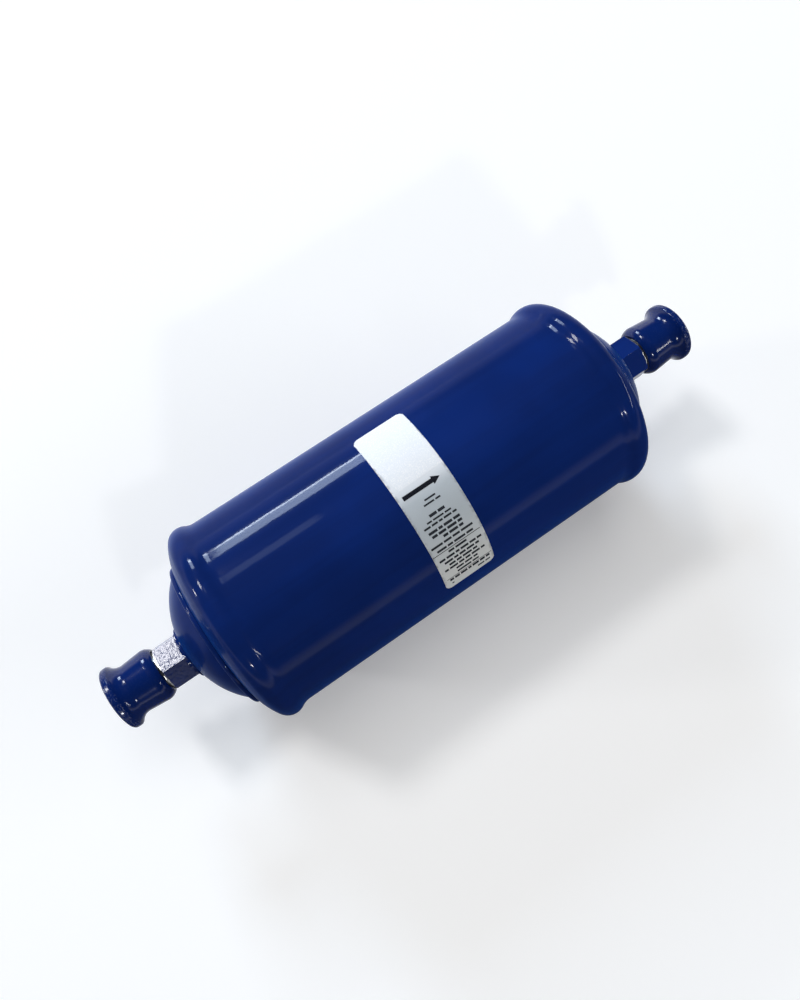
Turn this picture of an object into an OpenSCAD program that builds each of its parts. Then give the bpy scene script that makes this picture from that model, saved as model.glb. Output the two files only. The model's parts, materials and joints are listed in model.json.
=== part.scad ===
// Liquid line filter drier with male flare ends and push-on caps.
// The shell lies along +X, which is the way the refrigerant flows, and +Z is up.
// The origin is the middle of the shell. Millimetres throughout.

/* [Shell] */
// Outside diameter of the steel tube
shell_d = 76.2; // [60:0.1:90]
// Wall of the tube
shell_wall = 1.6; // [1:0.1:2.5]
// Distance between the crests of the two beads
bead_span = 154; // [120:1:220]
// Height of a bead over the tube
bead_rise = 1.7; // [1:0.1:3]
// Radius of the bead's crest
bead_r = 5.6; // [5:0.1:8]
// Radius of the groove where the tube runs into the bead
groove_r = 6.5; // [4:0.1:8]
// Radius of the shoulder spun in from the bead
shoulder_r = 27; // [24:0.5:30]
// Angle past the crest where the bead runs into the shoulder
shoulder_from = 57; // [50:1:62]
// Diameter of the hole that the spun end leaves
lip_d = 54.4; // [48:0.1:58]

/* [End domes] */
// Radius of the dome's outside
dome_r = 34.4; // [30:0.1:38]
// Angle of the dome's surface where it leaves the lip
dome_from = 41.5; // [38:0.5:50]
// Wall of the dome
dome_wall = 2; // [1.5:0.1:2.5]
// Height at which the dome stands clear of the shell's lip
dome_step = 0.95; // [0.3:0.05:1.2]
// Length of the dome's skirt inside the lip
skirt = 4; // [2:0.5:5]
// Radius of the weld bead in the kink
seam_r = 1.1; // [0.8:0.1:1.5]
// Radius of the braze fillet at the fitting
braze_r = 1.1; // [0.8:0.1:1.3]

/* [Flare fittings] */
// Width across the hexagon's flats
hex_flats = 15.875; // [14:0.005:20]
// Length of the hexagon
hex_len = 10; // [8:0.1:14]
// Diameter of the collar brazed into the dome
collar_d = 17.2; // [15:0.1:19]
// Length of collar that shows between the dome and the hexagon
collar_out = 0.3; // [0.2:0.1:4]
// Length of collar inside the dome
collar_in = 2.9; // [2:0.1:5]
// Major diameter of the flare thread
thread_d = 15.875; // [14:0.005:16]
// Pitch of the thread
thread_pitch = 1.411; // [1:0.001:1.5]
// Length of the thread
thread_len = 13; // [10:0.1:14]
// Diameter of the flare seat where it meets the thread
seat_d = 13.1; // [12:0.1:13.5]
// Diameter of the flat at the tip of the seat
tip_d = 8.1; // [7.8:0.1:9]
// Bore through the fitting
bore_d = 7.14; // [6:0.01:7.4]
// Turn of the inlet hexagon about the shell's axis
inlet_hex_turn = 17; // [0:1:59]
// Turn of the outlet hexagon about the shell's axis
outlet_hex_turn = 4; // [0:1:59]

/* [Caps] */
// Gap between the hexagon and the cap's mouth
cap_gap = 0.6; // [0.4:0.1:3]
// Clearance between the thread and the cap's bore
cap_fit = 0.05; // [0.03:0.01:0.1]
// Room between the fitting's tip and the cap's floor
cap_room = 0.3; // [0.2:0.05:0.5]
// Outside diameter of the cap behind its rounded mouth
cap_mouth_d = 20.4; // [20:0.1:22]
// Radius of the mouth's rounding
mouth_round = 4.5; // [4:0.1:6]
// Wall that the rounding leaves at the mouth
mouth_wall = 0.5; // [0.3:0.1:0.8]
// Outside diameter of the cap's waist
cap_waist_d = 19; // [18.4:0.1:19.6]
// Radius of the flare between the waist and the rim
flare_r = 5; // [3.5:0.1:7]
// Diameter of the flared rim
rim_d = 24.2; // [22:0.1:28]
// Thickness of the rim
rim_t = 3.2; // [2.4:0.1:4]
// Rounding of the rim's edge
rim_round = 1.1; // [0.5:0.1:1.4]
// Distance from the mouth to the cap's closed end
cap_len = 18.5; // [18.3:0.1:22]

/* [Name label] */
// Length of the label along the shell
label_len = 20.5; // [15:0.5:40]
// Place of the label's middle along the shell
label_at = 0.5; // [-20:0.5:20]
// Part of a turn that the label covers
label_wrap = 106.5; // [60:0.5:170]
// Direction of the label's middle, from the top towards -Y
label_turn = 16; // [0:1:60]
// Thickness of the label
label_t = 0.15; // [0.1:0.01:0.3]
// Rounding of the label's corners
label_corner = 2.5; // [1:0.5:4]

/* [Filter stack] */
// Clearance between the stack and the tube
stack_fit = 0.3; // [0.2:0.05:0.6]
// Clearance where the spring and the outlet plate bear on a curved wall
seat_fit = 0.3; // [0.2:0.05:0.5]
// Distance from the inlet bead's crest to the pressure plate's spring face
plate_inset = 15; // [10:1:22]
// Thickness of the perforated plates
plate_t = 1.2; // [0.8:0.1:2]
// Height of the plates' turned rims
plate_rim = 5; // [3:0.5:7]
// Diameter of a hole in the plates
hole_d = 4; // [2.5:0.1:4.5]
// Distance between the rings of holes
hole_pitch = 7.4; // [6:0.1:8]
// Number of rings of holes round the middle one
hole_rings = 4; // [2:1:4]
// Thickness of the inlet pad
inlet_pad_t = 4; // [2:0.5:8]
// Thickness of the outlet filter pad
outlet_pad_t = 12; // [6:0.5:16]
// Thickness of the wire screen
screen_t = 0.6; // [0.4:0.1:1]

/* [Spring] */
// Wire of the spring
wire_d = 3; // [2:0.1:3.5]
// Mean diameter of the spring
spring_d = 41; // [30:0.5:42]
// Number of turns
spring_turns = 4.5; // [3.5:0.5:5.5]

/* [Hidden] */

blue = [0.05, 0.13, 0.42];
cap_blue = [0.05, 0.12, 0.38];
steel = [0.72, 0.73, 0.75];
white = [0.9, 0.91, 0.93];

round_fn = 120;
far = shell_d;
// Two arcs that meet cross each other by this much, so that their joint is a clean edge.
nip = 0.005;

shell_r = shell_d / 2;
bead_at = bead_span / 2;
lip_r = lip_d / 2;

// Every centre in the lathe sections is [distance from the axis, distance along it].
bead_c = [shell_r + bead_rise - bead_r, bead_at];
groove_drop = groove_r + bead_r - bead_rise;
groove_run = sqrt(pow(groove_r + bead_r, 2) - pow(groove_drop, 2));
groove_c = [shell_r + groove_r, bead_at - groove_run];
shoulder_c = bead_c - (shoulder_r - bead_r + nip) * ray(shoulder_from);
lip_at = shoulder_c[1] + sqrt(pow(shoulder_r, 2) - pow(lip_r - shoulder_c[0], 2));

dome_at = lip_at + dome_step;
dome_c = [lip_r, dome_at] - dome_r * ray(dome_from);
collar_r = collar_d / 2;
collar_at = dome_c[1] + sqrt(pow(dome_r, 2) - pow(collar_r - dome_c[0], 2));

hex_r = hex_flats / 2 / cos(30);
hex_at = collar_at + collar_out;
hex_end = hex_at + hex_len;
// The crown is part of a ball whose slope at the hexagon's edge is crown_slope.
crown_slope = 30;
crown_r = (hex_flats + 2 * hex_r) / 4 / sin(crown_slope);
crown_c = hex_end - sqrt(pow(crown_r, 2) - pow(hex_flats / 2, 2));
// The thread is a plain cylinder at its pitch diameter, which has the thread's own volume.
pitch_r = thread_d / 2 - 0.3248 * thread_pitch;
seat_at = hex_end + thread_len;
tip_at = seat_at + (seat_d - tip_d) / 2;
lead = pitch_r - seat_d / 2;

mouth_at = hex_end + cap_gap;
cap_end = mouth_at + cap_len;
cap_bore_r = thread_d / 2 + cap_fit;
cap_floor = tip_at + cap_room;
mouth_r = cap_mouth_d / 2;
mouth_drop = mouth_r - cap_bore_r - mouth_wall;
ridge_at = mouth_at + sqrt(pow(mouth_round, 2) - pow(mouth_round - mouth_drop, 2));
waist_r = cap_waist_d / 2;
rim_r = rim_d / 2;
rim_at = cap_end - rim_t;
// The flare is hollow, and it touches the waist at one end and the rim's rounding at the other.
rim_edge_c = [rim_r - rim_round, rim_at + rim_round];
flare_out = waist_r + flare_r;
flare_run = sqrt(pow(flare_r + rim_round, 2) - pow(flare_out - rim_edge_c[0], 2));
flare_c = [flare_out, rim_edge_c[1] - flare_run];

stack_r = shell_r - shell_wall - stack_fit;
// The outlet plate's rim stands on the inside of the outlet shoulder.
stand_drop = stack_r - bead_c[0];
stand_at = bead_at + sqrt(pow(bead_r - shell_wall, 2) - pow(stand_drop, 2));
outlet_plate_at = stand_at - seat_fit - plate_rim - plate_t;
screen_at = outlet_plate_at - screen_t;
outlet_pad_at = screen_at - outlet_pad_t;
plate_at = bead_at - plate_inset;
inlet_pad_at = -plate_at + plate_t;
charge_at = inlet_pad_at + inlet_pad_t;

// The spring's wire lies just off the inside of the inlet dome.
spring_r = spring_d / 2;
spring_out = spring_r + wire_d / 2;
inner_dome_r = dome_r - dome_wall;
seat_run = sqrt(pow(inner_dome_r, 2) - pow(spring_out - dome_c[0], 2));
spring_seat = dome_c[1] + seat_run - seat_fit;
spring_len = spring_seat - plate_at;
end_rise = 1.05 * wire_d;
mid_pitch = (spring_len - wire_d - 2 * end_rise) / (spring_turns - 2);

function ray(a) = [cos(a), sin(a)];

// Height of the wire's centre after t turns: flat at both ends, a steady pitch between them.
function ease(t) = t * t * (3 - 2 * t);
function coil_height(t) =
    t < 1 ? wire_d / 2 + end_rise * ease(t)
    : t > spring_turns - 1 ? spring_len - wire_d / 2 - end_rise * ease(spring_turns - t)
    : wire_d / 2 + end_rise + mid_pitch * (t - 1);

// The lathe's axis is laid along +X for the outlet end, and mirrored for the inlet end.
module to_outlet() {
    rotate([0, 90, 0]) children();
}

module to_inlet() {
    mirror([1, 0, 0]) rotate([0, 90, 0]) children();
}

// Part of a disc between two directions.
module sector(centre, r, from, to) {
    intersection() {
        translate(centre) circle(r, $fn = round_fn);
        polygon([
            centre,
            centre + 2 * r * ray(from),
            centre + 2 * r * ray((from + to) / 2),
            centre + 2 * r * ray(to)
        ]);
    }
}

// Half of the shell's section, filled to the axis. inset moves its outline inwards.
module shell_fill(inset) {
    r = shell_r - inset;
    difference() {
        union() {
            polygon([
                [0, -1],
                [r, -1],
                [r, groove_c[1]],
                groove_c,
                bead_c,
                // this corner laps over the sector, so that no hairline is left between the two
                shoulder_c + (shoulder_r - bead_r) / 2 * ray(shoulder_from + 20),
                shoulder_c,
                [0, shoulder_c[1]]
            ]);
            translate(bead_c) circle(bead_r - inset, $fn = round_fn);
            // the arc runs on past the lip, where the wall is cut later
            sector(shoulder_c, shoulder_r - inset, shoulder_from, 100);
        }
        translate(groove_c) circle(groove_r + inset + nip, $fn = round_fn);
    }
}

// Half of the shell's wall: straight tube, groove, bead, shoulder and lip.
module shell_wall_section() {
    difference() {
        shell_fill(0);
        shell_fill(shell_wall);
        translate([-1, -2]) square([lip_r + 1, lip_at + far]);
    }
}

module shell() {
    color(blue)
        to_outlet()
            rotate_extrude($fn = round_fn)
                union() {
                    shell_wall_section();
                    mirror([0, 1]) shell_wall_section();
                }
}

// The dome's section filled to the axis: a skirt inside the lip, then the dished face.
module dome_fill(inset, from) {
    intersection() {
        translate(dome_c) circle(dome_r - inset, $fn = 3 * round_fn);
        translate([0, from]) square([lip_r - inset, far]);
    }
}

module dome() {
    rotate_extrude($fn = round_fn)
        difference() {
            dome_fill(0, dome_at - skirt);
            dome_fill(dome_wall, dome_at - skirt - 1);
            translate([-1, 0]) square([collar_r + 1, collar_at + far]);
        }
}

module inlet_dome() {
    color(blue) to_inlet() dome();
}

module outlet_dome() {
    color(blue) to_outlet() dome();
}

// Weld bead in the kink, cut to the shell's shoulder and the dome that it joins.
module seam_weld() {
    rotate_extrude($fn = round_fn)
        difference() {
            translate([lip_r + seam_r / 2, lip_at + dome_step / 3]) circle(seam_r, $fn = 48);
            shell_fill(0);
            dome_fill(0, dome_at - skirt);
        }
}

module inlet_seam_weld() {
    color(blue) to_inlet() seam_weld();
}

module outlet_seam_weld() {
    color(blue) to_outlet() seam_weld();
}

// Braze fillet between the collar and the dome.
module braze_ring() {
    rotate_extrude($fn = round_fn)
        difference() {
            translate([collar_r + braze_r / 3, collar_at - braze_r / 5])
                circle(braze_r, $fn = 48);
            dome_fill(0, dome_at - skirt);
            translate([-1, collar_at - 2 * braze_r]) square([collar_r + 1, 4 * braze_r]);
            // the hexagon stands on it
            translate([0, hex_at]) square([collar_r + 2 * braze_r, 2 * braze_r]);
        }
}

module inlet_braze_ring() {
    color(blue) to_inlet() braze_ring();
}

module outlet_braze_ring() {
    color(blue) to_outlet() braze_ring();
}

// Turned fitting: collar, hexagon crowned at its outer end, thread blank and flare seat.
module fitting(turn) {
    difference() {
        union() {
            translate([0, 0, collar_at - collar_in])
                cylinder(h = collar_in + collar_out + 1, r = collar_r, $fn = round_fn);
            intersection() {
                translate([0, 0, hex_at])
                    rotate([0, 0, turn])
                        linear_extrude(hex_len) circle(hex_r, $fn = 6);
                // the crown meets the end face at the flats and leaves an arc on each of them
                rotate_extrude($fn = round_fn)
                    intersection() {
                        translate([0, crown_c]) circle(crown_r, $fn = round_fn);
                        translate([0, crown_c]) square(crown_r);
                    }
            }
            rotate_extrude($fn = round_fn)
                polygon([
                    [0, hex_end - 1],
                    [pitch_r, hex_end - 1],
                    [pitch_r, seat_at - lead],
                    [seat_d / 2, seat_at],
                    [tip_d / 2, tip_at],
                    [0, tip_at]
                ]);
        }
        translate([0, 0, collar_at - collar_in - 1])
            cylinder(h = tip_at - collar_at + collar_in + 2, d = bore_d, $fn = round_fn);
    }
}

module inlet_fitting() {
    color(blue) to_inlet() fitting(inlet_hex_turn);
}

module outlet_fitting() {
    color(blue) to_outlet() fitting(outlet_hex_turn);
}

// Rounded edge of a turned disc: its section from the axis to r, between two heights.
module rounded_disc_section(r, z, t, edge) {
    translate([0, z]) square([r - edge, t]);
    translate([0, z + edge]) square([r, t - 2 * edge]);
    translate([r - edge, z + edge]) circle(edge, $fn = 48);
    translate([r - edge, z + t - edge]) circle(edge, $fn = 48);
}

// Cap: a round mouth, a sleeve that tapers to a waist, a flare, and a rim to pull it by.
module cap_section() {
    difference() {
        union() {
            intersection() {
                translate([mouth_r - mouth_round, ridge_at]) circle(mouth_round, $fn = round_fn);
                translate([0, mouth_at]) square([mouth_r + 1, ridge_at - mouth_at]);
            }
            difference() {
                polygon([
                    [0, mouth_at],
                    [cap_bore_r + mouth_wall, mouth_at],
                    [mouth_r, ridge_at],
                    [waist_r, flare_c[1]],
                    flare_c,
                    rim_edge_c,
                    [0, rim_edge_c[1]]
                ]);
                translate(flare_c) circle(flare_r + nip, $fn = round_fn);
            }
            rounded_disc_section(rim_r, rim_at, rim_t, rim_round);
        }
        translate([-1, mouth_at - 1]) square([cap_bore_r + 1, cap_floor - mouth_at + 1]);
    }
}

module cap() {
    rotate_extrude($fn = round_fn) cap_section();
}

module inlet_cap() {
    color(cap_blue) to_inlet() cap();
}

module outlet_cap() {
    color(cap_blue) to_outlet() cap();
}

// Label: a piece of a thin sleeve on the tube, with rounded corners.
module name_label() {
    half = label_wrap / 2;
    corner_deg = label_corner / shell_r * 180 / PI;
    color(white)
        translate([label_at, 0, 0])
            difference() {
                // the sleeve itself isn't turned, so that its flats lie on the tube's own flats
                rotate([0, 90, 0])
                    difference() {
                        cylinder(h = label_len, r = shell_r + label_t, center = true, $fn = round_fn);
                        cylinder(h = label_len + 2, r = shell_r, center = true, $fn = round_fn);
                    }
                // what lies outside the wrap, on either side
                for (side = [-1, 1])
                    rotate([label_turn + side * half, 0, 0])
                        translate([-far, side > 0 ? -2 * far : 0, -far])
                            cube([2 * far, 2 * far, 2 * far]);
                for (side = [-1, 1], end = [-1, 1])
                    rotate([label_turn + side * (half - corner_deg), 0, 0])
                        translate([end * (label_len / 2 - label_corner), 0, 0])
                            mirror([end > 0 ? 0 : 1, 0, 0])
                                mirror([0, side > 0 ? 1 : 0, 0])
                                    corner_cut();
            }
}

// What is taken off a square corner: two flats that follow its rounding.
module corner_cut() {
    for (a = [30, 60])
        rotate([0, 0, a])
            translate([label_corner, -far / 2, 0])
                cube(far);
}

// Round wire swept along the coil, one ring of points at a time.
module spring() {
    per_turn = 20;
    sides = 10;
    rings = per_turn * spring_turns;
    points = [
        for (i = [0:rings])
            let (t = i / per_turn, a = 360 * t, z = coil_height(t))
            for (k = [0:sides - 1])
                let (b = 360 * k / sides, d = spring_r + wire_d / 2 * cos(b))
                [d * cos(a), d * sin(a), z + wire_d / 2 * sin(b)]
    ];
    faces = concat(
        [[for (k = [0:sides - 1]) k]],
        [for (i = [0:rings - 1], k = [0:sides - 1])
            let (a = i * sides + k, b = i * sides + (k + 1) % sides)
            [a, a + sides, b + sides, b]],
        [[for (k = [sides - 1:-1:0]) rings * sides + k]]
    );
    color(steel)
        translate([-plate_at, 0, 0])
            rotate([0, -90, 0])
                polyhedron(points, faces, convexity = 6);
}

// Perforated plate with a turned rim. Rings of holes surround the middle one.
module perforated_plate() {
    difference() {
        cylinder(h = plate_t + plate_rim, r = stack_r, $fn = round_fn);
        translate([0, 0, plate_t])
            cylinder(h = plate_rim + 1, r = stack_r - plate_t, $fn = round_fn);
        translate([0, 0, -1]) cylinder(h = plate_t + 2, d = hole_d, $fn = 24);
        for (ring = [1:hole_rings], i = [0:6 * ring - 1])
            rotate([0, 0, i * 60 / ring])
                translate([ring * hole_pitch, 0, -1])
                    cylinder(h = plate_t + 2, d = hole_d, $fn = 24);
    }
}

module pressure_plate() {
    color(steel)
        translate([-plate_at + plate_t, 0, 0])
            rotate([0, -90, 0])
                perforated_plate();
}

module outlet_plate() {
    color(steel)
        translate([outlet_plate_at, 0, 0])
            rotate([0, 90, 0])
                perforated_plate();
}

// A round layer of the stack, from one place along the shell to another.
module layer(from, to) {
    translate([from, 0, 0])
        rotate([0, 90, 0])
            cylinder(h = to - from, r = stack_r, $fn = round_fn);
}

module inlet_pad() {
    color([0.93, 0.9, 0.72]) layer(inlet_pad_at, charge_at);
}

module desiccant_charge() {
    color([0.86, 0.8, 0.66]) layer(charge_at, outlet_pad_at);
}

module outlet_filter_pad() {
    color([0.93, 0.9, 0.72]) layer(outlet_pad_at, screen_at);
}

module screen() {
    color(steel) layer(screen_at, outlet_plate_at);
}

shell();
inlet_dome();
outlet_dome();
inlet_seam_weld();
outlet_seam_weld();
inlet_fitting();
outlet_fitting();
inlet_braze_ring();
outlet_braze_ring();
inlet_cap();
outlet_cap();
name_label();
spring();
pressure_plate();
inlet_pad();
desiccant_charge();
outlet_filter_pad();
screen();
outlet_plate();
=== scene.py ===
"""Looks of a liquid line filter drier: gloss paint, fittings, caps, label, filter stack and stage."""

import json
from math import cos, pi, radians, sin, tan

import bpy
import numpy as np
from bpy.props import FloatProperty, FloatVectorProperty, IntProperty, PointerProperty
from mathutils import Matrix, Vector


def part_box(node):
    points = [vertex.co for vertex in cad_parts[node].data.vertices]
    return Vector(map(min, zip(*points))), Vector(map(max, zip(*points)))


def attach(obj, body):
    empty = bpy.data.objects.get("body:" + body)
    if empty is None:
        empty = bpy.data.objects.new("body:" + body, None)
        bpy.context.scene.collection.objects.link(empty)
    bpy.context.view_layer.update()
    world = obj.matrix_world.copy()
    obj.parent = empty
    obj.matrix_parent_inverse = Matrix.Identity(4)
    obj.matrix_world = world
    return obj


bl_info = {
    "name": "Filter drier finish",
    "version": (1, 0, 0),
    "blender": (4, 5, 0),
    "location": "3D View > Sidebar > Filter drier",
    "description": "Dresses a liquid line filter drier in paint, plastic, print and steel",
    "category": "Object",
}

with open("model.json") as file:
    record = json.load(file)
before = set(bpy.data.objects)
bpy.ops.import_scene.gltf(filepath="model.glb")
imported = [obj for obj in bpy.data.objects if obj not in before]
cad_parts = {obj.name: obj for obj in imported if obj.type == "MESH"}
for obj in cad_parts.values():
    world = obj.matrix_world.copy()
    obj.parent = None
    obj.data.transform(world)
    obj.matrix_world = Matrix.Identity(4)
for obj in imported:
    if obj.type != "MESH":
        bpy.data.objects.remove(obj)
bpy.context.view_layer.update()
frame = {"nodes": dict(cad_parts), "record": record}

MM = 0.001
SIDES = {"inlet": -1, "outlet": 1}
MOUNTS = {mount["name"]: mount for mount in frame["record"]["mounts"]}
FLARE = MOUNTS["outlet_flare"]

TIP_AT = FLARE["pos_m"][0]
THREAD_R = FLARE["dims"]["r_mm"] * MM
THREAD_LENGTH = FLARE["dims"]["length_mm"] * MM
LIP_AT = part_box("shell")[1].x
LIP_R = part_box("outlet_dome")[1].y
CREST_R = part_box("shell")[1].z
TUBE_R = MOUNTS["shell_strap"]["dims"]["r_mm"] * MM
LABEL_LOW, LABEL_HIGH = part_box("name_label")
LABEL_MIDDLE = (LABEL_LOW.x + LABEL_HIGH.x) / 2
CAP_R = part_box("outlet_cap")[1].y
PRINT_SUNK = 0.05 * MM

LAMP_DISTANCE = 4.0
WHITE_LIGHT = (1, 1, 1)
SKY_LIGHT = (0.65, 0.8, 1)
PALE_SKY_LIGHT = (0.75, 0.87, 1)


def colour(name, description, default):
    return FloatVectorProperty(
        name=name, description=description, default=default, subtype="COLOR", size=3, min=0, max=1
    )


def length(name, description, default):
    return FloatProperty(name=name, description=description, default=default, unit="LENGTH", precision=5)


def rotation(name, description, degrees):
    return FloatProperty(name=name, description=description, default=radians(degrees), unit="ROTATION")


def share(name, description, default):
    return FloatProperty(
        name=name, description=description, default=default, subtype="FACTOR", min=0, max=1
    )


class DrierSizes(bpy.types.PropertyGroup):
    """Sizes of what is added to the solids"""

    thread_pitch: length("Thread pitch", "Distance between two turns of the flare thread", 1.411 * MM)
    flare_seat: length("Flare seat", "Length of the seat between the thread and the tip", 2.5 * MM)
    hex_flats: length("Across flats", "Width of the hexagons across their flats", 15.875 * MM)
    ink: length("Ink", "Height of the print over the label", 0.05 * MM)
    arrow_length: length("Arrow length", "Length of the flow arrow", 14.8 * MM)
    arrow_shaft: length("Arrow shaft", "Thickness of the flow arrow's shaft", 1.55 * MM)
    arrow_head: length("Arrow head", "Width and length of the flow arrow's head", 3 * MM)
    peel: length("Orange peel", "Distance between the ripples of the paint", 2.6 * MM)


class DrierColours(bpy.types.PropertyGroup):
    """Colours of the finishes"""

    paint: colour("Paint", "Gloss paint of the shell", (0.0048, 0.0235, 0.162))
    # Also used, darker still, for the painted shade in the kinks at the end domes.
    paint_shade: colour("Paint shade", "Paint where it lies thicker", (0.0042, 0.0165, 0.106))
    # Painted sheen: a lighter blue that stands in for the reflection that gloss paint shows edge-on.
    painted_edge_sheen: colour("Paint edge", "Paint seen edge-on", (0.005, 0.055, 0.27))
    cap: colour("Cap", "Plastic of the caps", (0.002, 0.016, 0.12))
    scuff: colour("Scuff", "Rubbed plastic on the caps' edges", (0.16, 0.2, 0.34))
    plating: colour("Plating", "Plated steel of the threads", (0.62, 0.62, 0.6))
    film: colour("Label film", "Ground of the label", (0.53, 0.585, 0.63))
    # Painted light: a lighter ground that stands in for more light on the label's lower end.
    film_foot_painted_light: colour("Label foot", "Ground of the label at its lower end", (0.8, 0.81, 0.79))
    # White of the printed white field, and also the painted light that whitens the film near the top of the
    # tube.
    film_white_and_painted_top_light: colour("Label white", "White field of the label", (0.86, 0.89, 0.93))
    ink_black: colour("Black ink", "Ink of the arrow and the rules", (0.008, 0.009, 0.014))
    ink_grey: colour("Grey ink", "Ink of the bars", (0.028, 0.031, 0.04))
    spring: colour("Spring", "Wire of the spring", (0.36, 0.36, 0.38))
    plate: colour("Plates", "Perforated plates", (0.55, 0.56, 0.57))
    fibre: colour("Glass fibre", "Pads of the filter stack", (0.78, 0.7, 0.4))
    beads: colour("Desiccant", "Beads that take up water", (0.62, 0.5, 0.33))


class DrierStage(bpy.types.PropertyGroup):
    """Camera, floor and light"""

    azimuth: rotation("Azimuth", "Camera's direction round the object", -34.79)
    elevation: rotation("Elevation", "Camera's height over the horizon", 75.06)
    roll: rotation("Roll", "Camera's turn about its line of sight", 0.22)
    distance: length("Distance", "From the camera to the point that it looks at", 297.4 * MM)
    aim_x: length("Aim along", "Place along the axis that the camera looks at", -5.3 * MM)
    aim_up: length("Aim up", "How far over the axis the middle of the picture lies", 4.29 * MM)
    lens: FloatProperty(name="Lens", description="Focal length", default=28.33, unit="CAMERA")
    floor_colour: colour("Floor", "Colour of the floor", (0.88, 0.88, 0.88))
    floor_glow: share("Floor glow", "White that rays which show the backdrop see near the object", 0.2)
    floor_in_gloss: share("Floor in gloss", "How much of the floor in front shows in reflections", 0.1)
    ambient: share("Ambient", "Light from all round", 0.025)
    floor_points: IntProperty(
        name="Floor points", description="Points along a side of the floor", default=5, min=2
    )


def scaled(tint, factor):
    """A lighter or darker copy of a colour."""
    return tuple(factor * part for part in tint)


class Finish:
    """A material's node tree, with short calls for the nodes that the finishes share."""

    def __init__(self, name):
        self.material = bpy.data.materials.new(name)
        self.material.use_nodes = True
        self.tree = self.material.node_tree
        self.surface = self.tree.nodes["Principled BSDF"]
        self.place = self.node("ShaderNodeTexCoord").outputs["Object"]

    def node(self, kind, **settings):
        made = self.tree.nodes.new(kind)
        for key, value in settings.items():
            setattr(made, key, value)
        return made

    def put(self, socket, value):
        """Links a socket, or sets its own value."""
        if isinstance(value, bpy.types.NodeSocket):
            self.tree.links.new(value, socket)
        elif hasattr(value, "__len__") and len(value) == 3 and socket.type == "RGBA":
            socket.default_value = (*value, 1)
        else:
            socket.default_value = value

    def set(self, **values):
        """Sets or links the shader's own sockets, named with underscores."""
        for key, value in values.items():
            self.put(self.surface.inputs[key.replace("_", " ").title().replace("Ior", "IOR")], value)

    def math(self, operation, *values):
        made = self.node("ShaderNodeMath", operation=operation)
        for socket, value in zip(made.inputs, values):
            self.put(socket, value)
        return made.outputs[0]

    def blend(self, factor, low, high):
        """Goes from the low colour to the high one."""
        made = self.node("ShaderNodeMix", data_type="RGBA")
        self.put(made.inputs["Factor"], factor)
        self.put(made.inputs[6], low)
        self.put(made.inputs[7], high)
        return made.outputs[2]

    def span(self, value, start, end, low=0.0, high=1.0):
        """Carries a value from the range start to end over to low to high, eased."""
        made = self.node("ShaderNodeMapRange", interpolation_type="SMOOTHSTEP")
        for socket, number in zip(made.inputs, (value, start, end, low, high)):
            self.put(socket, number)
        return made.outputs[0]

    def stretched(self, scale):
        """Object coordinates that are scaled along each axis."""
        made = self.node("ShaderNodeMapping")
        self.put(made.inputs["Vector"], self.place)
        self.put(made.inputs["Scale"], scale)
        return made.outputs[0]

    def noise(self, size, detail=2.0, stretch=None):
        """Noise whose lumps are about size metres apart."""
        made = self.node("ShaderNodeTexNoise")
        self.put(made.inputs["Vector"], self.place if stretch is None else self.stretched(stretch))
        made.inputs["Scale"].default_value = 1 / size
        made.inputs["Detail"].default_value = detail
        return made.outputs["Fac"]

    def cells(self, size):
        """Distance to the nearest of a crowd of points that lie about size metres apart."""
        made = self.node("ShaderNodeTexVoronoi")
        self.put(made.inputs["Vector"], self.place)
        made.inputs["Scale"].default_value = 1 / size
        return made.outputs["Distance"]

    def bump(self, height, rise, normal=None):
        """Normals of a relief that rises by rise metres over a height of 1."""
        made = self.node("ShaderNodeBump")
        made.inputs["Distance"].default_value = rise
        self.put(made.inputs["Height"], height)
        if normal is not None:
            self.put(made.inputs["Normal"], normal)
        return made.outputs["Normal"]

    def edge_on(self, start, end, low, high):
        """Goes from low to high as the surface turns from the eye: 0 is square to it, 1 is edge-on."""
        return self.span(self.node("ShaderNodeLayerWeight").outputs["Facing"], start, end, low, high)

    def axes(self):
        """The three object coordinates."""
        made = self.node("ShaderNodeSeparateXYZ")
        self.put(made.inputs[0], self.place)
        return made.outputs

    def along(self):
        """Distance from the middle of the shell, the same at both ends."""
        return self.math("ABSOLUTE", self.axes()[0])

    def root(self, a, b):
        """The square root of a squared plus b squared."""
        squares = self.math("ADD", self.math("MULTIPLY", a, a), self.math("MULTIPLY", b, b))
        return self.math("SQRT", squares)

    def radius(self):
        """Distance from the axis."""
        _, y, z = self.axes()
        return self.root(y, z)


def dress(finish, *nodes):
    """Gives CAD nodes a finish, on their objects' own material slots."""
    for name in nodes:
        for slot in frame["nodes"][name].material_slots:
            slot.material = finish.material


def grid_faces(rows, columns, rings=False):
    """Four-cornered faces over a grid of points, whose rows may be closed into rings."""
    i = np.arange(rows - 1)[:, None]
    j = np.arange(columns if rings else columns - 1)[None, :]
    j_next = (j + 1) % columns
    corners = np.broadcast_arrays(
        i * columns + j, (i + 1) * columns + j, (i + 1) * columns + j_next, i * columns + j_next
    )
    return np.stack(corners, -1).reshape(-1, 4).tolist()


def bar_faces(rows):
    """Faces of a closed bar that has four points to a row: its sides, then its two ends."""
    return grid_faces(rows, 4, rings=True) + [[3, 2, 1, 0], [4 * (rows - 1) + k for k in range(4)]]


def make_piece(name, points, faces, finish, body, slot, sharp=30):
    """Puts a mesh into the scene, smooth but for edges sharper than the given angle."""
    mesh = bpy.data.meshes.new(name)
    mesh.from_pydata(points.reshape(-1, 3).tolist(), [], faces)
    mesh.validate()
    mesh.shade_smooth()
    mesh.set_sharp_from_angle(angle=radians(sharp))
    mesh.materials.append(finish.material)
    piece = bpy.data.objects.new(name, mesh)
    bpy.context.scene.collection.objects.link(piece)
    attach(piece, body)


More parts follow.
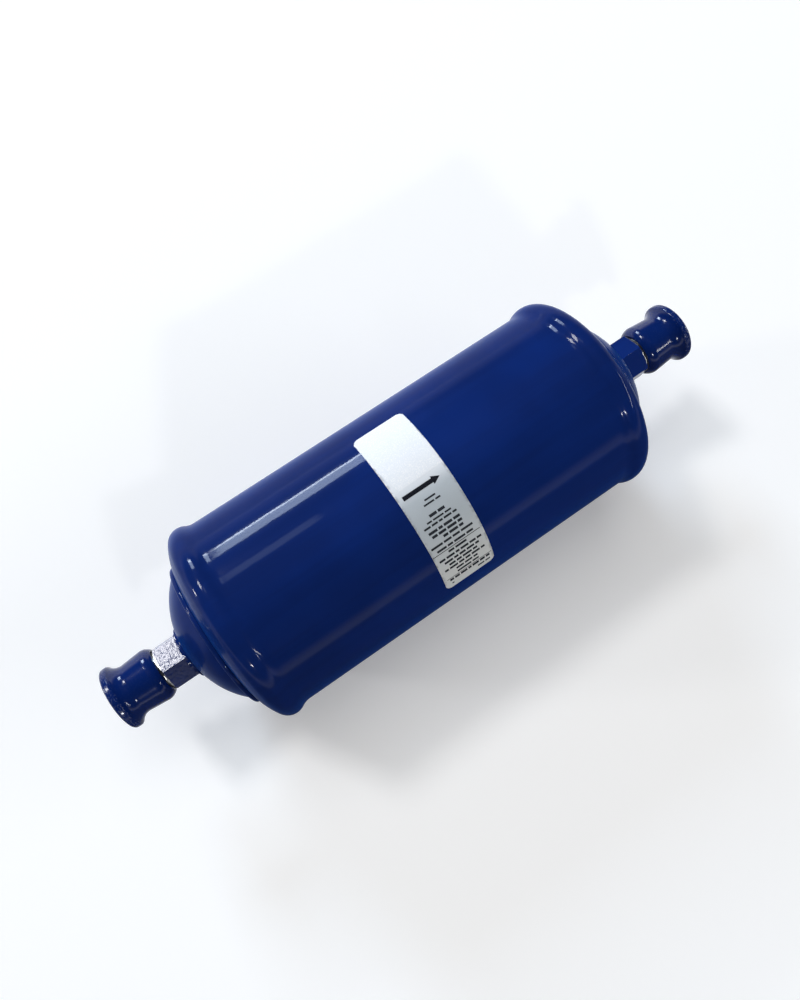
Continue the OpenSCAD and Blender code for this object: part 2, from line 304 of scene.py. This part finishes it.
def painted(name, colours, sizes):
    """Gloss paint: two shades in soft clouds, faint lines along the drawn tube, a painted sheen of lighter
    blue where it turns edge-on, and orange peel.
    """
    finish = Finish(name)
    clouds = finish.span(finish.noise(60 * MM, detail=3), 0.35, 0.65, 0, 0.8)
    lines = finish.span(finish.noise(4 * MM, detail=2, stretch=(0.04, 1, 1)), 0.4, 0.6, 0, 0.2)
    flat = finish.blend(finish.math("ADD", clouds, lines), tuple(colours.paint_shade), tuple(colours.paint))
    # Painted sheen: the colour goes over into a lighter blue as the surface turns edge-on. It stands in for
    # a reflection.
    finish.paint = finish.blend(finish.edge_on(0.55, 0.95, 0, 0.6), flat, tuple(colours.painted_edge_sheen))
    wide = finish.bump(finish.noise(6 * sizes.peel, detail=1), 0.06 * MM)
    relief = finish.bump(finish.noise(sizes.peel, detail=1), 0.007 * MM, wide)
    finish.set(normal=relief, coat_normal=relief, coat_weight=finish.edge_on(0.12, 0.55, 0.85, 0.2))
    finish.set(coat_ior=1.25, coat_roughness=0.075, roughness=0.28, specular_ior_level=0.01)
    return finish


def shell_paint(colours, sizes):
    """The shell's paint, with painted shade that darkens it near the kinks at the end domes."""
    finish = painted("shell_paint", colours, sizes)
    out = finish.math("SUBTRACT", finish.along(), LIP_AT + 0.4 * MM)
    up = finish.math("SUBTRACT", finish.radius(), LIP_R)
    # Painted shade: the paint goes darker within about 2.4 mm of the kink where the shell's lip meets the
    # dome.
    kink_shade = finish.span(finish.root(out, up), 0.5 * MM, 2.4 * MM, 0.2, 0)
    finish.set(base_color=finish.blend(kink_shade, finish.paint, scaled(colours.paint_shade, 0.4)))
    return finish


def fitting_finish(colours, sizes):
    """Paint up to the hexagon's end and bare plated steel beyond it, with rubbed corners.

    The inlet hexagon is dented all over, and the outlet one hardly at all.
    """
    finish = painted("painted_fitting", colours, sizes)
    hex_end = TIP_AT - sizes.flare_seat - THREAD_LENGTH
    corner = sizes.hex_flats / 2 / cos(radians(30))
    edge = finish.math("MULTIPLY_ADD", finish.noise(1.2 * MM), 0.5 * MM, finish.along())
    bare = finish.span(edge, hex_end - 0.25 * MM, hex_end - 0.1 * MM)
    rubbed = finish.math("MULTIPLY_ADD", finish.noise(0.8 * MM, detail=4), 0.9 * MM, finish.radius())
    worn = finish.span(rubbed, corner + 0.54 * MM, corner + 0.62 * MM)
    metal = finish.math("MAXIMUM", bare, worn)
    dents = finish.noise(0.9 * MM, detail=3, stretch=(1, 0.5, 1))
    depth = finish.span(finish.axes()[0], -LIP_AT, LIP_AT, 1, 0.15)
    dimples = finish.bump(finish.math("MULTIPLY", dents, depth), 0.1 * MM)
    streaks = finish.noise(0.5 * MM, stretch=(4, 1, 1))
    steel = finish.blend(streaks, scaled(colours.plating, 0.75), tuple(colours.plating))
    finish.set(
        base_color=finish.blend(metal, finish.paint, steel),
        metallic=metal,
        roughness=finish.span(metal, 0, 1, 0.34, 0.28),
        normal=dimples,
        coat_normal=dimples,
        coat_weight=finish.span(metal, 0, 1, 1, 0),
        coat_ior=1.4,
        coat_roughness=0.09,
    )
    return finish


def plated_thread(colours):
    """Plated steel with the fine lines that the thread's cutting leaves."""
    finish = Finish("plated_thread")
    lines = finish.noise(0.3 * MM, detail=3, stretch=(5, 1, 1))
    finish.set(
        base_color=finish.blend(lines, scaled(colours.plating, 0.7), tuple(colours.plating)),
        metallic=1,
        roughness=finish.span(finish.noise(3 * MM), 0.3, 0.7, 0.2, 0.34),
        normal=finish.bump(lines, 0.006 * MM),
    )
    return finish


def cap_finish(colours):
    """Moulded plastic: a faint flow pattern, and scuffs that gather on the rim."""
    finish = Finish("cap_plastic")
    flow = finish.noise(7 * MM, detail=2, stretch=(0.5, 1, 1))
    base = finish.blend(flow, scaled(colours.cap, 0.8), scaled(colours.cap, 1.15))
    rim = finish.span(finish.radius(), CAP_R - 1 * MM, CAP_R - 0.1 * MM, 0.1, 1)
    marks = finish.span(finish.noise(0.9 * MM, detail=5, stretch=(2, 1, 1)), 0.5, 0.66)
    rubbed = finish.math("MULTIPLY", rim, marks)
    dents = finish.bump(finish.noise(6 * MM, detail=1), 0.03 * MM)
    finish.set(
        base_color=finish.blend(finish.math("MULTIPLY", rubbed, 0.2), base, tuple(colours.scuff)),
        roughness=finish.span(rubbed, 0, 1, 0.14, 0.4),
        ior=1.4,
        normal=finish.bump(rubbed, 0.003 * MM, dents),
    )
    return finish


def label_film(colours):
    """Coated film: grey ground with painted light that makes it lighter at both ends, with soiled sides and
    a fine grain.
    """
    finish = Finish("label_film")
    x, y, z = finish.axes()
    turn = finish.math("ARCTAN2", finish.math("MULTIPLY", y, -1), z)
    # Painted light: the film goes lighter towards its foot, past 25 degrees round the tube, and white near
    # the top of the tube.
    to_painted_foot_light = finish.span(turn, radians(25), radians(62))
    to_painted_top_light = finish.span(turn, radians(13), radians(1))
    foot = finish.blend(to_painted_foot_light, tuple(colours.film), tuple(colours.film_foot_painted_light))
    ground = finish.blend(to_painted_top_light, foot, tuple(colours.film_white_and_painted_top_light))
    half = (LABEL_HIGH.x - LABEL_LOW.x) / 2
    side = finish.math("ABSOLUTE", finish.math("SUBTRACT", x, LABEL_MIDDLE))
    margin = finish.span(side, half - 1.2 * MM, half, 0, 0.55)
    patches = finish.span(finish.noise(1.6 * MM, detail=4), 0.42, 0.62)
    soiled = finish.math("MULTIPLY", margin, patches)
    grain = finish.noise(0.35 * MM, detail=2)
    shade = finish.blend(finish.span(grain, 0.3, 0.7, 0, 0.06), ground, scaled(colours.film, 0.5))
    finish.set(
        base_color=finish.blend(soiled, shade, scaled(colours.film, 0.35)),
        roughness=finish.span(grain, 0.3, 0.7, 0.34, 0.42),
        normal=finish.bump(finish.noise(9 * MM, detail=1), 0.05 * MM),
    )
    return finish


def ink(name, tint):
    """Print: an even colour that lets a little of the film's grain through."""
    finish = Finish(name)
    grain = finish.noise(0.4 * MM, detail=3)
    lighter = tuple(min(1.0, 1.35 * c + 0.01) for c in tint)
    finish.set(base_color=finish.blend(finish.span(grain, 0.45, 0.75), tuple(tint), lighter))
    finish.set(roughness=0.55, specular_ior_level=0.1)
    return finish


def drawn_wire(colours):
    """Spring wire: dark oiled steel with drawing lines round the coil."""
    finish = Finish("spring_steel")
    mottle = finish.noise(2.5 * MM, detail=4)
    finish.set(
        base_color=finish.blend(mottle, scaled(colours.spring, 0.6), tuple(colours.spring)),
        metallic=1,
        roughness=finish.span(mottle, 0.3, 0.7, 0.26, 0.42),
        normal=finish.bump(finish.noise(0.4 * MM), 0.004 * MM),
    )
    return finish


def rolled_sheet(name, tint):
    """Perforated plate: rolled steel with fine lines one way."""
    finish = Finish(name)
    lines = finish.noise(0.8 * MM, detail=4, stretch=(1, 0.05, 1))
    finish.set(
        base_color=finish.blend(lines, scaled(tint, 0.72), tuple(tint)),
        metallic=1,
        roughness=finish.span(lines, 0.3, 0.7, 0.26, 0.4),
        normal=finish.bump(lines, 0.006 * MM),
    )
    return finish


def woven_wire(tint):
    """Plain weave: ridges along Y and Z that take turns to lie on top, with painted shade where the weave
    lies low.
    """
    finish = Finish("screen_wire")
    _, y, z = finish.axes()
    wave = 2 * pi / (0.5 * MM)
    across, down = (finish.math("SINE", finish.math("MULTIPLY", axis, wave)) for axis in (y, z))
    weave = finish.math("MULTIPLY", across, down)
    finish.set(
        # Painted shade: the wire goes darker where the weave lies low.
        base_color=finish.blend(finish.span(weave, -1, 1), scaled(tint, 0.25), tuple(tint)),
        metallic=1,
        roughness=0.35,
        normal=finish.bump(weave, 0.06 * MM),
    )
    return finish


def felted_fibre(colours):
    """Glass fibre pad: fine strands in layers across the axis."""
    finish = Finish("glass_fibre")
    strands = finish.noise(0.9 * MM, detail=6, stretch=(6, 1, 1))
    tint = tuple(colours.fibre)
    finish.set(
        base_color=finish.blend(strands, scaled(tint, 0.62), tint),
        roughness=0.9,
        normal=finish.bump(strands, 0.3 * MM),
    )
    return finish


def bead_bed(colours):
    """Desiccant: round beads of about 2 mm, packed close, with painted shade in the gaps between them."""
    finish = Finish("desiccant_beads")
    bead = finish.cells(2.1 * MM)
    tint = tuple(colours.beads)
    finish.set(
        # Painted shade: the colour darkens away from each bead's middle, into the gaps between the beads.
        base_color=finish.blend(finish.span(bead, 0.25, 0.65), tint, scaled(tint, 0.3)),
        roughness=0.75,
        normal=finish.bump(finish.math("MULTIPLY", bead, -1), 1.2 * MM),
    )
    return finish


def thread_ridge(sizes, side):
    """One ridge of a unified thread, carried round its helix.

    The section has four corners: two on the crest, an eighth of the pitch apart, and two on 60 degree
    flanks, sunk just below the blank. At angle a its middle lies a / (2 pi) pitches past the start. The
    ridge rises out of the blank over its first half turn and sinks back over its last.
    """
    pitch = sizes.thread_pitch
    depth = 0.3248 * pitch
    sunk = 0.06 * MM
    blank_r = THREAD_R - depth
    start = TIP_AT - sizes.flare_seat - THREAD_LENGTH + 0.45 * pitch
    turns = (THREAD_LENGTH - 1.1 * pitch) / pitch
    points_per_turn = 56
    angle = np.linspace(0, 2 * pi * turns, int(points_per_turn * turns))[:, None]
    rise = np.clip(np.minimum(angle, angle[-1] - angle) / pi, 0.02, 1)
    crest, foot = pitch / 16, pitch / 16 + (depth + sunk) * tan(radians(30))
    offset = np.array([[-foot, -crest, crest, foot]])
    height = np.array([[-sunk, 1, 1, -sunk]])
    r = blank_r + np.where(height > 0, (depth + sunk) * rise - sunk, -sunk)
    along = start + pitch * angle / (2 * pi) + offset
    y, z = r * np.cos(angle), side * r * np.sin(angle)
    points = np.stack(np.broadcast_arrays(side * along, y, z), -1)
    return points, [face[::-1] for face in bar_faces(len(angle))]


def wrapped(x, turned, r):
    """Places on the tube: x along the axis and turned millimetres round from the top towards -Y."""
    angle = np.asarray(turned) / TUBE_R
    return np.stack(np.broadcast_arrays(np.asarray(x), -r * np.sin(angle), r * np.cos(angle)), -1)


def inked_block(left, right, top, bottom, r_low, r_high):
    """A field of print with upright sides: rows of points down the label, four to a row."""
    rows = 2 + int((bottom - top) / (2 * MM))
    down = np.linspace(top, bottom, rows)[:, None]
    x = np.array([[left, left, right, right]])
    r = np.array([[r_low, r_high, r_high, r_low]])
    return wrapped(*np.broadcast_arrays(x, down, r)).reshape(-1, 3), bar_faces(rows)


def white_field(r_low, r_high):
    """The label's white upper field, rows of points down the label, four to a row.

    Its width follows the label's rounded corners at the top. From draw_from on, its left side draws in,
    by the square of the way down, and both sides waver by about a tenth of a millimetre.
    """
    margin, corner, draw_from, draw_in = 0.25, 2.4, -15, 2.2
    down = np.linspace(WHITE_TOP, WHITE_FOOT, 60)[:, None]
    half = (LABEL_HIGH.x - LABEL_LOW.x) / 2 / MM - margin
    into = np.clip(corner - (down - WHITE_TOP), 0, corner)
    drawn = corner - np.sqrt(corner**2 - into**2)
    waver = 0.1 * np.sin(2.1 * down) + 0.06 * np.sin(5.3 * down + 1)
    way = np.clip((down - draw_from) / (WHITE_FOOT - draw_from), 0, 1)
    left = -half + drawn + draw_in * way**2 + waver
    right = half - drawn + 0.5 * waver - 0.1
    x = LABEL_MIDDLE + np.concatenate([left, left, right, right], 1) * MM
    lean = np.array([[0, 0, 0.35, 0.35]]) * np.clip(down / WHITE_FOOT, 0, 1)
    points = wrapped(x, (down - lean) * MM, np.array([[r_low, r_high, r_high, r_low]]))
    return points.reshape(-1, 3), bar_faces(len(down))


def inked_triangle(x_base, x_tip, top, bottom, r_low, r_high):
    """The arrow's head: three corners and the middle of its base, at two heights."""
    x = np.array([x_base, x_base, x_base, x_tip])
    down = np.array([top, (top + bottom) / 2, bottom, (top + bottom) / 2])
    points = np.concatenate([wrapped(x, down, r_low), wrapped(x, down, r_high)])
    ends = [[0, 1, 3], [1, 2, 3], [4, 7, 5], [5, 7, 6]]
    sides = [[0, 4, 5, 1], [1, 5, 6, 2], [2, 6, 7, 3], [3, 7, 4, 0]]
    return points, ends + sides


def joined(blocks):
    """Several blocks of points and faces as one."""
    points, faces, count = [], [], 0
    for block, block_faces in blocks:
        points.append(block)
        faces += [[count + k for k in face] for face in block_faces]
        count += len(block)
    return np.concatenate(points), faces


# Rows of the label's lower field: down from the top of the shell, left and right end, height, bars.
# All are millimetres, and the ends are taken from the label's middle.
BAR_ROWS = (
    (9.3, -2.4, 1.9, 0.6, 1),
    (10.8, -3.6, 3.0, 0.6, 2),
    (14.6, -3.9, 2.2, 1.0, 2),
    (16.3, -5.9, 3.8, 0.6, 3),
    (17.7, -7.9, 5.2, 0.7, 5),
    (19.8, -7.3, 5.3, 0.95, 4),
    (21.4, -6.8, 5.3, 0.95, 4),
    (23.1, -3.2, 4.9, 0.95, 3),
    (25.0, -9.2, 7.7, 0.8, 4),
    (27.0, -7.8, 6.9, 0.8, 4),
    (29.2, -4.2, 3.2, 0.8, 2),
    (31.0, -8.7, 8.6, 0.85, 6),
    (32.7, -7.3, 6.9, 0.85, 5),
    (34.3, -6.0, 5.6, 0.85, 4),
    (35.9, -8.4, 8.2, 0.85, 6),
    (37.6, -4.2, 4.7, 0.8, 3),
    (39.3, -4.2, 4.7, 0.8, 2),
    (41.5, -8.0, 8.8, 1.1, 7),
    (43.7, -7.6, -6.8, 0.6, 1),
    (43.7, 3.4, 8.6, 0.7, 2),
)
# The rules, given as the rows are but with no bars, then the arrow's axis and tail and the white
# field's two ends.
RULES = ((28.1, -10.1, 9.2, 0.22), (40.5, -9.0, 9.8, 0.16))
ARROW_AT, ARROW_FROM = 5.1, -8.2
WHITE_TOP, WHITE_FOOT = -24.4, 2.2
BAR_GAP = 0.55


def bar_blocks(r_low, r_high):
    """Each row is split into bars of uneven length, with a short gap between them."""
    blocks = []
    for number, (down, left, right, height, bars) in enumerate(BAR_ROWS):
        part = 1 + 0.4 * np.sin(1.7 * number + 2.4 * np.arange(bars))
        widths = part / part.sum() * (right - left - BAR_GAP * (bars - 1))
        starts = left + np.concatenate([[0], np.cumsum(widths + BAR_GAP)[:-1]])
        for start, width in zip(starts, widths):
            x = LABEL_MIDDLE + start * MM
            top = (down - height / 2) * MM
            blocks.append(inked_block(x, x + width * MM, top, top + height * MM, r_low, r_high))
    return blocks


def add_camera(stage):
    """The camera looks down its own -Z at a point just over the axis, with the picture's up as its Y."""
    azimuth, elevation, roll = stage.azimuth, stage.elevation, stage.roll
    back = Vector((cos(elevation) * sin(azimuth), -cos(elevation) * cos(azimuth), sin(elevation)))
    level = Vector((0, 0, 1)).cross(back).normalized()
    upright = back.cross(level)
    right = cos(roll) * level + sin(roll) * upright
    up = cos(roll) * upright - sin(roll) * level
    data = bpy.data.cameras.new("camera")
    data.lens = stage.lens
    data.clip_start = 0.01
    camera = bpy.data.objects.new("camera", data)
    bpy.context.scene.collection.objects.link(camera)
    turn = Matrix((right, up, back)).transposed().to_4x4()
    spot = Vector((stage.aim_x, 0, 0)) + back * stage.distance + up * stage.aim_up
    camera.matrix_world = Matrix.Translation(spot) @ turn
    bpy.context.scene.camera = camera


def add_lamp(name, azimuth, elevation, width, height, power, tint=WHITE_LIGHT, in_gloss=True):
    """A soft panel that faces the object from a direction, given as azimuth from +X and elevation."""
    a, e = radians(azimuth), radians(elevation)
    way = Vector((cos(e) * cos(a), cos(e) * sin(a), sin(e)))
    data = bpy.data.lights.new(name, "AREA")
    data.shape = "RECTANGLE"
    data.size, data.size_y, data.energy, data.color = width, height, power, tint
    lamp = bpy.data.objects.new(name, data)
    lamp.location = way * LAMP_DISTANCE
    lamp.rotation_mode = "QUATERNION"
    lamp.rotation_quaternion = way.to_track_quat("Z", "Y")
    lamp.visible_glossy = in_gloss
    lamp.visible_camera = False
    bpy.context.scene.collection.objects.link(lamp)


def combined(tree, operation, a, b):
    """One math node over two sockets."""
    made = tree.nodes.new("ShaderNodeMath")
    made.operation = operation
    tree.links.new(a, made.inputs[0])
    tree.links.new(b, made.inputs[1])
    return made.outputs[0]


def seen_directly(tree):
    """1 for rays from the camera, off gloss and through glass, which show the backdrop, and each kind."""
    rays = tree.nodes.new("ShaderNodeLightPath").outputs
    found = rays["Is Camera Ray"]
    for name in ("Is Glossy Ray", "Is Transmission Ray"):
        found = combined(tree, "MAXIMUM", found, rays[name])
    return found, rays


def add_floor(stage):
    """A flat grid that the object lies on. Rays that show the backdrop see it go over into white.

    Reflections see the floor in front of the object dark, so that the tube's low side stays deep.
    """
    reach = 12.0
    line = np.linspace(-reach, reach, stage.floor_points)
    x, y = np.meshgrid(line, line, indexing="ij")
    points = np.stack([x, y, np.full_like(x, -CREST_R)], -1)
    mesh = bpy.data.meshes.new("floor")
    mesh.from_pydata(points.reshape(-1, 3).tolist(), [], grid_faces(len(line), len(line)))
    finish = Finish("floor")
    grain = finish.noise(0.25, detail=3)
    base = finish.blend(grain, scaled(stage.floor_colour, 0.98), tuple(stage.floor_colour))
    shown, rays = seen_directly(finish.tree)
    x, y, _ = finish.axes()
    in_front = finish.span(y, -0.05, 0.02, 1, 0)
    dimmed = finish.math("MULTIPLY", rays["Is Glossy Ray"], in_front)
    base = finish.blend(dimmed, base, scaled(stage.floor_colour, stage.floor_in_gloss))
    finish.set(base_color=base, roughness=0.9, specular_ior_level=0.1)
    near = finish.math("MULTIPLY_ADD", dimmed, -stage.floor_glow, stage.floor_glow)
    away = finish.span(finish.root(x, y), 0.5, 2.5, near, 1)
    finish.set(emission_color=(1, 1, 1), emission_strength=finish.math("MULTIPLY", shown, away))
    mesh.materials.append(finish.material)
    floor = bpy.data.objects.new("floor", mesh)
    bpy.context.scene.collection.objects.link(floor)


def add_backdrop(stage):
    """White round the camera's view and low in reflections, and a dim even light from above."""
    world = bpy.data.worlds.new("backdrop")
    bpy.context.scene.world = world
    world.use_nodes = True
    tree = world.node_tree
    shown, rays = seen_directly(tree)
    height = tree.nodes.new("ShaderNodeSeparateXYZ")
    tree.links.new(tree.nodes.new("ShaderNodeTexCoord").outputs["Generated"], height.inputs[0])
    low = tree.nodes.new("ShaderNodeMapRange")
    tree.links.new(height.outputs[2], low.inputs["Value"])
    limits = {"From Min": sin(radians(3)), "From Max": sin(radians(12)), "To Min": 1, "To Max": 0}
    for name, number in limits.items():
        low.inputs[name].default_value = number
    low_down = combined(tree, "MULTIPLY", shown, low.outputs["Result"])
    white = combined(tree, "MAXIMUM", low_down, rays["Is Camera Ray"])
    level = tree.nodes.new("ShaderNodeMapRange")
    tree.links.new(white, level.inputs["Value"])
    level.inputs["To Min"].default_value = stage.ambient
    background = tree.nodes["Background"]
    background.inputs["Color"].default_value = (1, 1, 1, 1)
    tree.links.new(level.outputs[0], background.inputs["Strength"])


class FILTERDRIER_OT_paint_shell(bpy.types.Operator):
    """Paint the shell, its end domes, and the weld and braze rings"""

    bl_idname = "filter_drier.paint_shell"
    bl_label = "Paint shell"

    def execute(self, context):
        finish = shell_paint(context.scene.drier_colours, context.scene.drier_sizes)
        rings = [f"{end}_{ring}" for end in SIDES for ring in ("dome", "seam_weld", "braze_ring")]
        dress(finish, "shell", *rings)
        return {"FINISHED"}


class FILTERDRIER_OT_finish_fittings(bpy.types.Operator):
    """Paint the hexagons and plate the ends of the flare fittings"""

    bl_idname = "filter_drier.finish_fittings"
    bl_label = "Finish fittings"

    def execute(self, context):
        finish = fitting_finish(context.scene.drier_colours, context.scene.drier_sizes)
        dress(finish, "inlet_fitting", "outlet_fitting")
        return {"FINISHED"}


class FILTERDRIER_OT_cut_threads(bpy.types.Operator):
    """Add the ridge of each flare thread to its blank"""

    bl_idname = "filter_drier.cut_threads"
    bl_label = "Cut threads"

    def execute(self, context):
        finish = plated_thread(context.scene.drier_colours)
        for end, side in SIDES.items():
            points, faces = thread_ridge(context.scene.drier_sizes, side)
            make_piece(f"{end}_thread", points, faces, finish, "drier", "painted_fitting")
        return {"FINISHED"}


class FILTERDRIER_OT_mould_caps(bpy.types.Operator):
    """Give the caps their gloss plastic with its scuffs"""

    bl_idname = "filter_drier.mould_caps"
    bl_label = "Mould caps"

    def execute(self, context):
        dress(cap_finish(context.scene.drier_colours), "inlet_cap", "outlet_cap")
        return {"FINISHED"}


class FILTERDRIER_OT_print_label(bpy.types.Operator):
    """Finish the label's film and print its white field, flow arrow, rules and bars"""

    bl_idname = "filter_drier.print_label"
    bl_label = "Print label"

    def execute(self, context):
        colours, sizes = context.scene.drier_colours, context.scene.drier_sizes
        dress(label_film(colours), "name_label")
        heights = LABEL_HIGH.z - PRINT_SUNK, LABEL_HIGH.z + sizes.ink
        tail, middle = LABEL_MIDDLE + ARROW_FROM * MM, ARROW_AT * MM
        tip = tail + sizes.arrow_length
        head = tip - sizes.arrow_head
        half_shaft, half_head = sizes.arrow_shaft / 2, sizes.arrow_head / 2
        black = [
            inked_block(tail, head, middle - half_shaft, middle + half_shaft, *heights),
            inked_triangle(head, tip, middle - half_head, middle + half_head, *heights),
        ]
        for down, rule_left, rule_right, height in RULES:
            left, right = LABEL_MIDDLE + rule_left * MM, LABEL_MIDDLE + rule_right * MM
            top = (down - height / 2) * MM
            black.append(inked_block(left, right, top, top + height * MM, *heights))
        inks = (
            ("label_white_field", [white_field(*heights)], colours.film_white_and_painted_top_light),
            ("label_arrow_and_rules", black, colours.ink_black),
            ("label_bars", bar_blocks(*heights), colours.ink_grey),
        )
        for name, blocks, tint in inks:
            make_piece(name, *joined(blocks), ink(name, tint), "drier", "label_film")
        return {"FINISHED"}


class FILTERDRIER_OT_finish_filter_stack(bpy.types.Operator):
    """Finish the spring, plates, pads, screen and charge inside the shell"""

    bl_idname = "filter_drier.finish_filter_stack"
    bl_label = "Finish filter stack"

    def execute(self, context):
        colours = context.scene.drier_colours
        dress(drawn_wire(colours), "spring")
        dress(rolled_sheet("plate_steel", colours.plate), "pressure_plate", "outlet_plate")
        dress(woven_wire(colours.plate), "screen")
        dress(felted_fibre(colours), "inlet_pad", "outlet_filter_pad")
        dress(bead_bed(colours), "desiccant_charge")
        return {"FINISHED"}


class FILTERDRIER_OT_set_stage(bpy.types.Operator):
    """Add the floor, the backdrop, the lamps and the camera"""

    bl_idname = "filter_drier.set_stage"
    bl_label = "Set stage"

    def execute(self, context):
        stage = context.scene.drier_stage
        context.scene.view_settings.view_transform = "Standard"
        add_floor(stage)
        add_backdrop(stage)
        add_lamp("sky_panel", 75, 70, 3.2, 3.2, 56, in_gloss=False)
        add_lamp("front_fill", -90, 35, 3.2, 2.4, 6, in_gloss=False)
        add_lamp("window", 88.5, 26, 1.0, 0.7, 50, SKY_LIGHT)
        add_lamp("window_sill", 88.5, 20, 1.0, 0.14, 30, PALE_SKY_LIGHT)
        add_lamp("skylight", 94, 58, 0.6, 0.5, 3, SKY_LIGHT)
        add_lamp("high_lamp", 111, 48, 0.8, 0.56, 48)
        add_lamp("low_strip", -30, 24, 2.8, 0.12, 36)
        add_lamp("end_lamp", 151, 13, 0.36, 0.3, 32)
        add_lamp("front_lamp", -110, 30, 0.35, 0.12, 20)
        add_camera(stage)
        return {"FINISHED"}


class FILTERDRIER_PT_panel(bpy.types.Panel):
    """Lists the steps, and the sizes, colours and stage values"""

    bl_label = "Filter drier"
    bl_idname = "FILTERDRIER_PT_panel"
    bl_space_type = "VIEW_3D"
    bl_region_type = "UI"
    bl_category = "Filter drier"

    def draw(self, context):
        for step in STEPS:
            self.layout.operator(step.bl_idname)
        for group in (context.scene.drier_sizes, context.scene.drier_colours, context.scene.drier_stage):
            box = self.layout.box()
            for name in group.__annotations__:
                box.prop(group, name)


STEPS = (
    FILTERDRIER_OT_paint_shell,
    FILTERDRIER_OT_finish_fittings,
    FILTERDRIER_OT_cut_threads,
    FILTERDRIER_OT_mould_caps,
    FILTERDRIER_OT_print_label,
    FILTERDRIER_OT_finish_filter_stack,
    FILTERDRIER_OT_set_stage,
)
GROUPS = {"drier_sizes": DrierSizes, "drier_colours": DrierColours, "drier_stage": DrierStage}


def register():
    for made in (*GROUPS.values(), *STEPS, FILTERDRIER_PT_panel):
        bpy.utils.register_class(made)
    for name, group in GROUPS.items():
        setattr(bpy.types.Scene, name, PointerProperty(type=group))


def unregister():
    for name in GROUPS:
        delattr(bpy.types.Scene, name)
    for made in reversed((*GROUPS.values(), *STEPS, FILTERDRIER_PT_panel)):
        bpy.utils.unregister_class(made)


def main():
    register()
    for step in STEPS:
        family, name = step.bl_idname.split(".")
        getattr(getattr(bpy.ops, family), name)()


if __name__ == "__main__":
    main()
